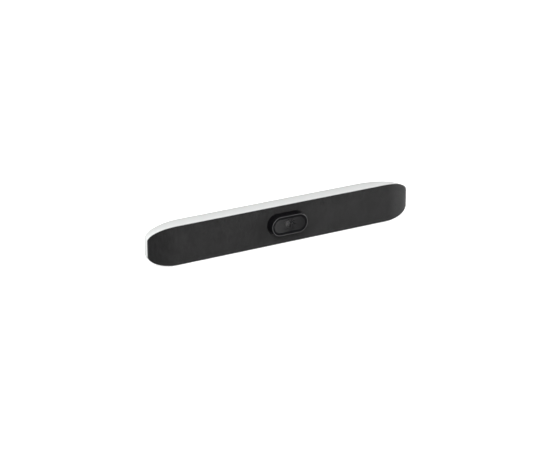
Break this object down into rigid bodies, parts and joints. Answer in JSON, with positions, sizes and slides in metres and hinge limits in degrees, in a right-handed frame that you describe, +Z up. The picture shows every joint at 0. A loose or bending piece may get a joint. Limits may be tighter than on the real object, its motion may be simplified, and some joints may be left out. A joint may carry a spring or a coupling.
{
  "type": "conference camera",
  "caption": "Long low conference camera bar with a fabric front, rounded white rear shell, a pod with lens and shutter at its middle, and recessed sockets at the back.",
  "frame": {"origin": "middle of the overall box at table height, under the rubber pads", "axes": "+X along the bar to the right as seen from the front, -Y towards the people in front of the camera, +Z up"},
  "size_m": [0.492, 0.0716, 0.0656],
  "materials": {
    "shell_white": "satin",
    "moulding_black": "fine texture",
    "grille_fabric": "knitted",
    "pod_black": "gloss",
    "window_smoke": "smoked",
    "lens_coated": "coated",
    "filter_teal": "coated",
    "seal_black": "matte",
    "inner_grey": "matte",
    "metal_bright": "satin",
    "steel_plated": "plated",
    "steel_dark": "blackened",
    "magnet_grey": "plated",
    "brass": "turned",
    "board_green": "solder mask",
    "chip_black": "moulded",
    "cone_black": "pressed pulp",
    "coil_copper": "enamelled copper",
    "flex_amber": "polyimide",
    "lead_red": "insulation",
    "pad_blue": "soft",
    "button_grey": "satin",
    "label_silver": "blank foil"
  },
  "bodies": {
    "bar": {"rear_housing": "shell_white", "front_carrier": "moulding_black", "grille_cloth": "grille_fabric", "camera_bezel": "pod_black", "camera_window": "window_smoke", "window_gasket": "seal_black", "lens_hood": "moulding_black", "shutter_guide": "moulding_black", "shutter_motor": "magnet_grey", "lens_barrel": "moulding_black", "front_lens": "lens_coated", "lens_holder": "moulding_black", "ir_filter": "filter_teal", "image_sensor": "chip_black", "camera_board": "board_green", "camera_bracket": "inner_grey", "bezel_screws": "steel_plated", "camera_flex": "flex_amber", "speaker_box_left": "inner_grey", "speaker_box_right": "inner_grey", "speaker_lid_left": "inner_grey", "speaker_lid_right": "inner_grey", "driver_frame_left": "steel_dark", "driver_frame_right": "steel_dark", "driver_magnet_left": "magnet_grey", "driver_magnet_right": "magnet_grey", "surround_left": "seal_black", "surround_right": "seal_black", "speaker_gaskets": "seal_black", "speaker_screws": "steel_plated", "speaker_leads": "lead_red", "mic_board_left": "board_green", "mic_board_right": "board_green", "mic_gaskets": "seal_black", "main_board": "board_green", "board_chips": "chip_black", "shield_can": "steel_plated", "thermal_pad": "pad_blue", "heat_sink": "metal_bright", "board_screws": "steel_plated", "port_panel": "moulding_black", "dc_jack": "moulding_black", "usb_c_port": "steel_plated", "hdmi_port": "steel_plated", "usb_a_port": "steel_plated", "reset_switch": "chip_black", "wall_inserts": "brass", "tripod_insert": "brass", "foot_pads": "seal_black", "housing_screws": "steel_dark", "label_plate": "label_silver", "wifi_antennas": "flex_amber"},
    "shutter": {"shutter_blade": "inner_grey"},
    "pinion": {"drive_pinion": "brass", "motor_shaft": "steel_plated"},
    "reset": {"reset_button": "button_grey"},
    "cone_left": {"cone_left": "cone_black", "voice_coil_left": "coil_copper"},
    "cone_right": {"cone_right": "cone_black", "voice_coil_right": "coil_copper"}
  },
  "joints": [
    {"name": "pinion_spin", "type": "hinge", "parent": "bar", "child": "pinion", "pos_m": [0, -0.02905, 0.0254], "axis": [0, -1, 0], "range_deg": [-3, 348]},
    {"name": "shutter_slide", "type": "slide", "parent": "bar", "child": "shutter", "axis": [-1, 0, 0], "range_m": [0, 0.01444]},
    {"name": "reset_press", "type": "slide", "parent": "bar", "child": "reset", "axis": [0, -1, 0], "range_m": [0, 0.0005], "stiffness_N_per_m": 1000, "springref_m": -0.0005},
    {"name": "left_cone_travel", "type": "slide", "parent": "bar", "child": "cone_left", "axis": [0, -1, 0], "range_m": [-0.001, 0.001], "stiffness_N_per_m": 1200},
    {"name": "right_cone_travel", "type": "slide", "parent": "bar", "child": "cone_right", "axis": [0, -1, 0], "range_m": [-0.001, 0.001], "stiffness_N_per_m": 1200}
  ],
  "couplings": [
    {"joint": "pinion_spin", "follows": "shutter_slide", "rad_per_m": 416.67}
  ]
}
